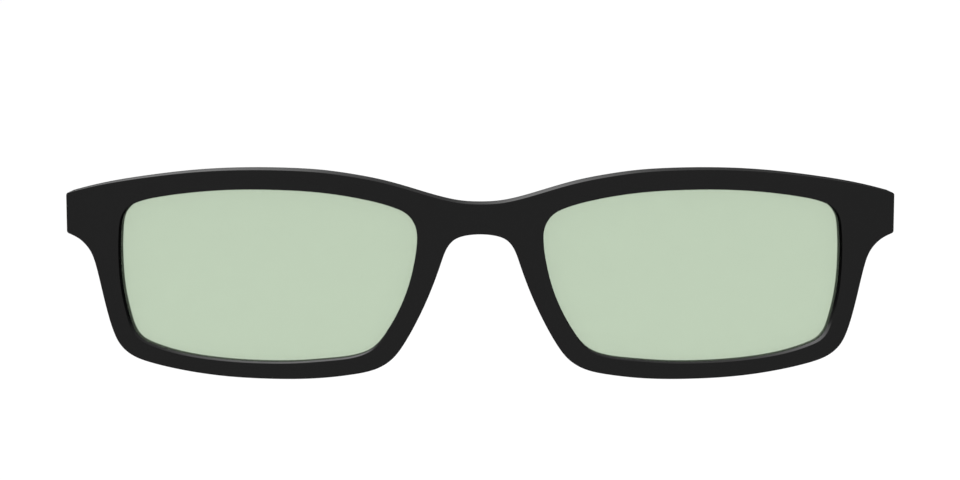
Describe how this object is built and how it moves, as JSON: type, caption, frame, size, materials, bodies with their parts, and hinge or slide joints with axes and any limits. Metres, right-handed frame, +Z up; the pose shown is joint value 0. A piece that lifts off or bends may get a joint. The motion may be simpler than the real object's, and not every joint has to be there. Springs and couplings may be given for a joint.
{
  "type": "magnetic clip-on sunglass front",
  "caption": "Bowed clip-on sun front with tinted rectangular lenses in full rims, and magnets sealed in the back of its bridge and end pieces, to snap onto a pair of glasses.",
  "frame": {"origin": "middle of the bounding box's bottom, below the middle of the bridge, level with the lowest edge of the rims", "axes": "+X towards the wearer's left, which is the right side of a front view; +Y from the front towards the wearer; +Z up"},
  "size_m": [0.1382, 0.012, 0.0353],
  "materials": {
    "moulding": "satin black injection moulding",
    "sun_lens": "polished pale grey-green tinted plastic lens",
    "magnet": "nickel-plated magnet disc",
    "seal": "clear hard resin disc"
  },
  "bodies": {
    "root": {"front_frame": "moulding", "lens_left": "sun_lens", "lens_right": "sun_lens", "magnet_bridge_left": "magnet", "magnet_bridge_right": "magnet", "magnet_end_left": "magnet", "magnet_end_right": "magnet", "magnet_seal_bridge_left": "seal", "magnet_seal_bridge_right": "seal", "magnet_seal_end_left": "seal", "magnet_seal_end_right": "seal"}
  },
  "joints": []
}
